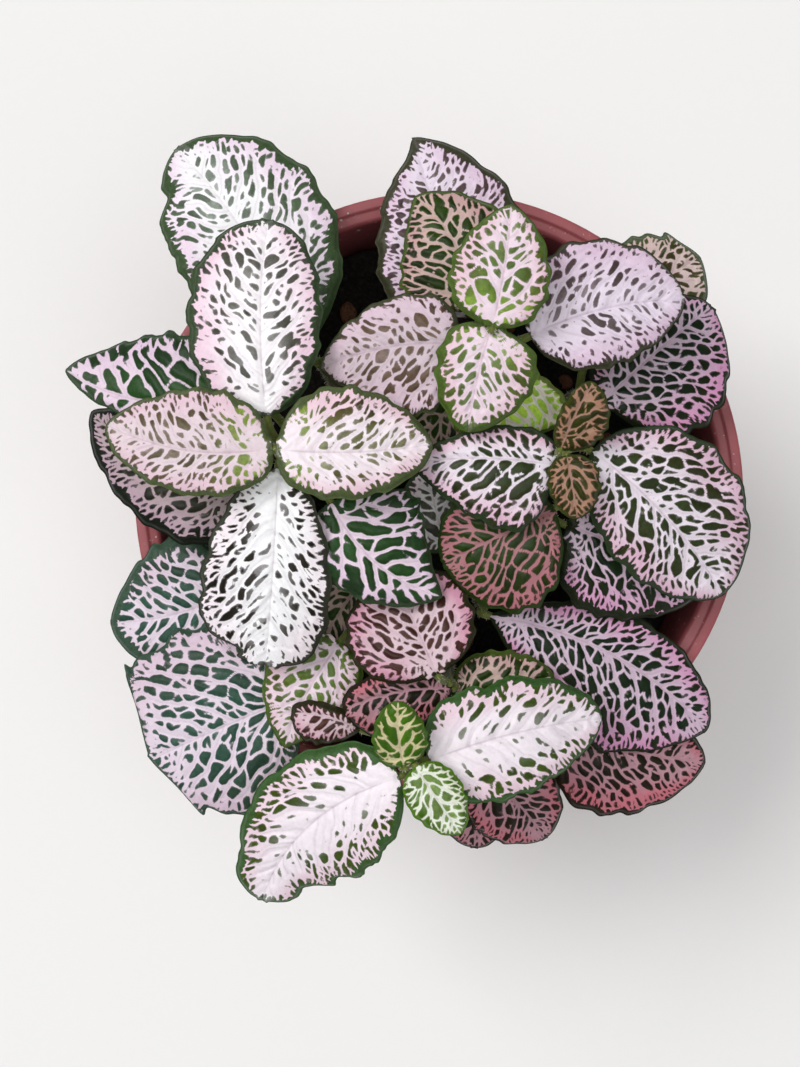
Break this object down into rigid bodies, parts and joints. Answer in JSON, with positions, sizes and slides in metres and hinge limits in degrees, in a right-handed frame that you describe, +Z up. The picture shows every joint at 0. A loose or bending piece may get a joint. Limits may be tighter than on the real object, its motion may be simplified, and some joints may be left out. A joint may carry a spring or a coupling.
{
  "type": "potted nerve plant",
  "caption": "Nerve plant with white and pink veined leaves on upright leafy stems, rooted in soil in a tapered plastic nursery pot.",
  "frame": {"origin": "centre of the pot's underside, on the surface that it stands on", "axes": "+Z up along the pot's axis; +Y towards the tall back leaves, +X to the right seen from the front"},
  "size_m": [0.1302, 0.147, 0.145],
  "materials": {
    "pot": "moulded, satin",
    "soil": "damp peat and bark, matte",
    "leaf": "soft satin"
  },
  "bodies": {
    "root": {"nursery_pot": "pot", "soil": "soil", "leafy_stem_left": "leaf", "leafy_stem_back_left": "leaf", "leafy_stem_back": "leaf", "leafy_stem_back_right": "leaf", "leafy_stem_right": "leaf", "leafy_stem_middle": "leaf", "leafy_stem_front_middle": "leaf", "leafy_stem_front_right": "leaf", "leafy_stem_inner_left": "leaf", "leafy_stem_front_left": "leaf", "leafy_stem_front": "leaf", "leafy_stem_low_right": "leaf"}
  },
  "joints": []
}
